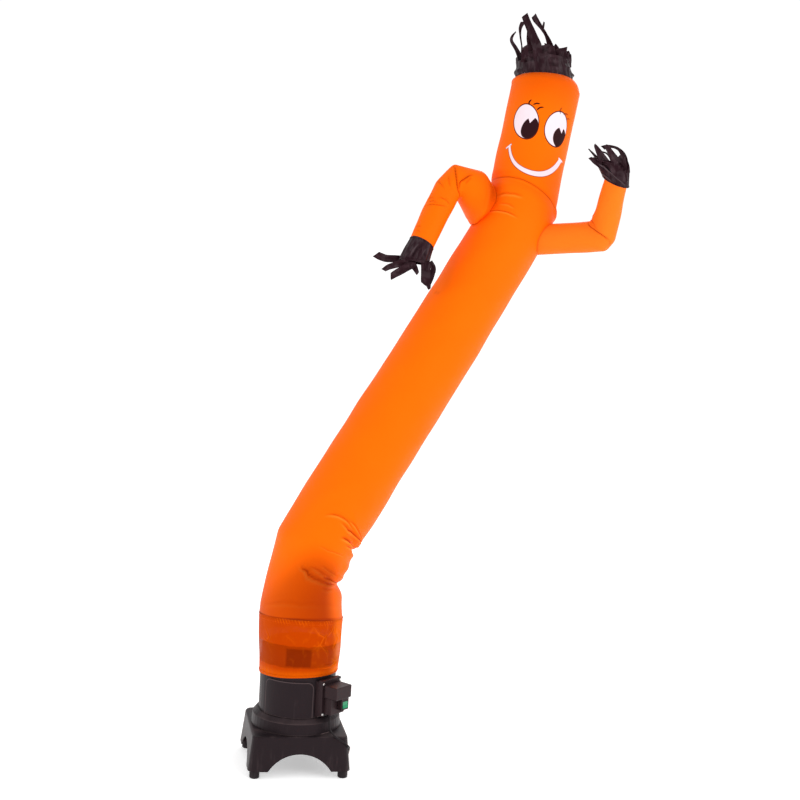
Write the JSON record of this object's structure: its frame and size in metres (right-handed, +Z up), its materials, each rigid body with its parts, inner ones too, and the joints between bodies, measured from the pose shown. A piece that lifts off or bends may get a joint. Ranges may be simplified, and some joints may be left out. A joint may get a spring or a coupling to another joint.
{
  "type": "inflatable air dancer on a blower",
  "caption": "Tall bent cloth tube with a head, raised arms, fringed hands and hair, held up by a square floor blower under it.",
  "frame": {"origin": "on the floor, under the middle of the figure and blower together, without the loose cord", "axes": "+Z up, front towards -Y; the figure leans towards +X"},
  "size_m": [1.3769, 0.7234, 2.9361],
  "materials": {
    "orange": "bright orange coated nylon, softly shining",
    "sheer": "thinner, darker orange nylon",
    "black_cloth": "black nylon",
    "moulding": "black moulded plastic, satin",
    "rubber": "black rubber",
    "steel": "bright screw heads",
    "brass": "plain brass",
    "green": "green plastic, glossy"
  },
  "bodies": {
    "stand": {"blower_base": "moulding", "foot_front_left": "rubber", "foot_front_right": "rubber", "foot_back_left": "rubber", "foot_back_right": "rubber", "foot_ring": "moulding", "blower_housing": "moulding", "outlet_collar": "moulding", "front_panel": "moulding", "inlet_guard": "moulding", "box_plate": "moulding", "box_back": "moulding", "box_body": "moulding", "box_cover": "moulding", "box_screw_1": "steel", "box_screw_2": "steel", "box_screw_3": "steel", "box_screw_4": "steel", "switch_block": "moulding", "base_sleeve": "sheer", "body_tube": "orange", "left_arm": "orange", "right_arm": "orange", "left_cuff": "black_cloth", "right_cuff": "black_cloth", "left_fingers": "black_cloth", "right_fingers": "black_cloth", "hair_band": "black_cloth", "hair_strips": "black_cloth", "strain_relief": "rubber", "mains_cord": "rubber", "cord_coil": "rubber", "plug_body": "rubber", "plug_blade_1": "brass", "plug_blade_2": "brass", "plug_pin": "brass"},
    "rocker_key": {"rocker": "green"}
  },
  "joints": [
    {"name": "rocker_hinge", "type": "hinge", "parent": "stand", "child": "rocker_key", "pos_m": [-0.3316, -0.30837, 0.279], "axis": [0.7431, 0.6691, 0], "range_deg": [0, 20]}
  ]
}
